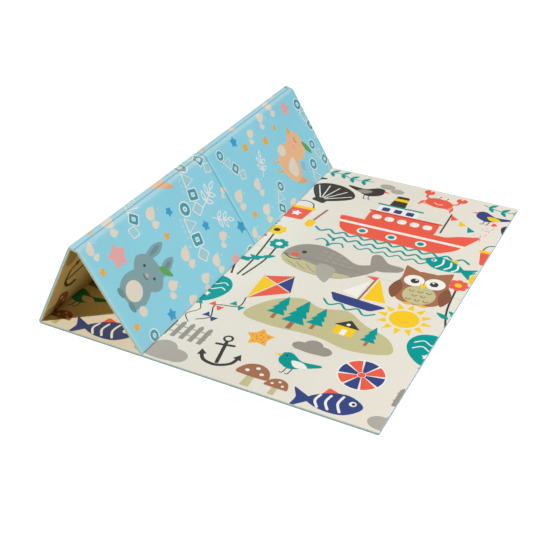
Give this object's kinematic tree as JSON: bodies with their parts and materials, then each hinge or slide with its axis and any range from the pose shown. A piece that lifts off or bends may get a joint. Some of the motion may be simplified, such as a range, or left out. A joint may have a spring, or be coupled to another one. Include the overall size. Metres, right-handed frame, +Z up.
{
  "type": "folding foam play mat",
  "caption": "Foam play mat printed on both sides, with two panels folded up into a ridge tent over the floor panel and the rest lying flat.",
  "frame": {"origin": "middle of the mat's box, on the floor", "axes": "+Z up, +Y along the ridge from the front edge to the back edge, +X from the tent to the flat panels"},
  "size_m": [1.1776, 1.5, 0.3331],
  "materials": {
    "printed_film": "satin film with a faint emboss, printed cream on one side and sky blue on the other"
  },
  "bodies": {
    "root": {"play_mat": "printed_film"}
  },
  "joints": []
}
